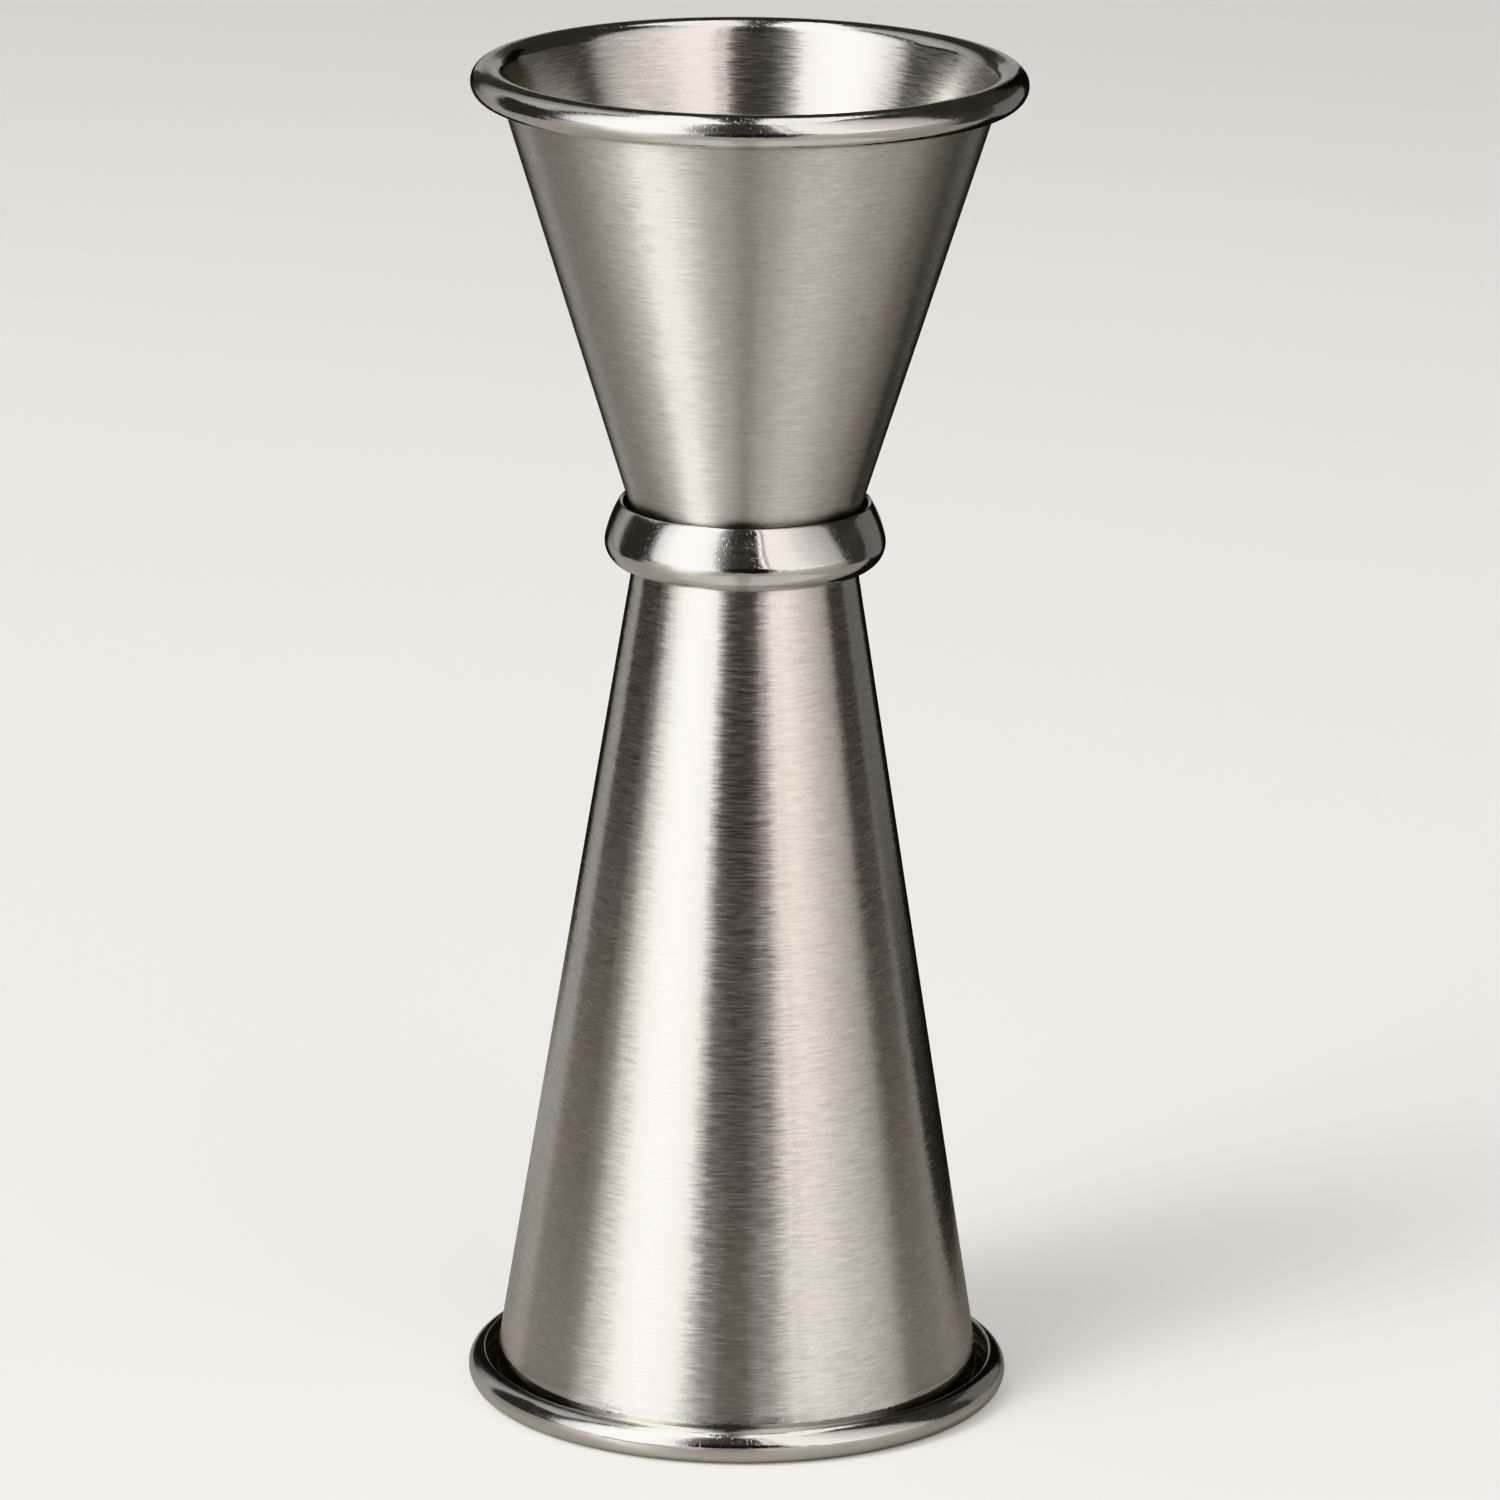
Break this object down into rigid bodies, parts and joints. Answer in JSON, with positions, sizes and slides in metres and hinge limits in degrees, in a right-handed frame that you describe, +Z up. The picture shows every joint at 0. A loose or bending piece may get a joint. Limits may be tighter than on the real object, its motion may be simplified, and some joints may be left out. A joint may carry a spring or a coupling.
{
  "type": "bar jigger",
  "caption": "Hourglass-shaped spirit measure: a small conical cup joined floor to floor to a larger inverted cup, with rolled rims and a bowl-shaped collar at the waist.",
  "frame": {"origin": "centre of the circle on which the large cup's rim stands", "axes": "+Z up along the axis of revolution, from the large cup's mouth to the small cup's mouth; X and Y are equivalent"},
  "size_m": [0.0494, 0.0494, 0.1223],
  "materials": {
    "brushed_steel": "satin",
    "polished_steel": "polished",
    "weld_metal": "matte"
  },
  "bodies": {
    "root": {"upper_cup": "brushed_steel", "lower_cup": "brushed_steel", "waist_collar": "polished_steel", "floor_spot_weld": "weld_metal"}
  },
  "joints": []
}
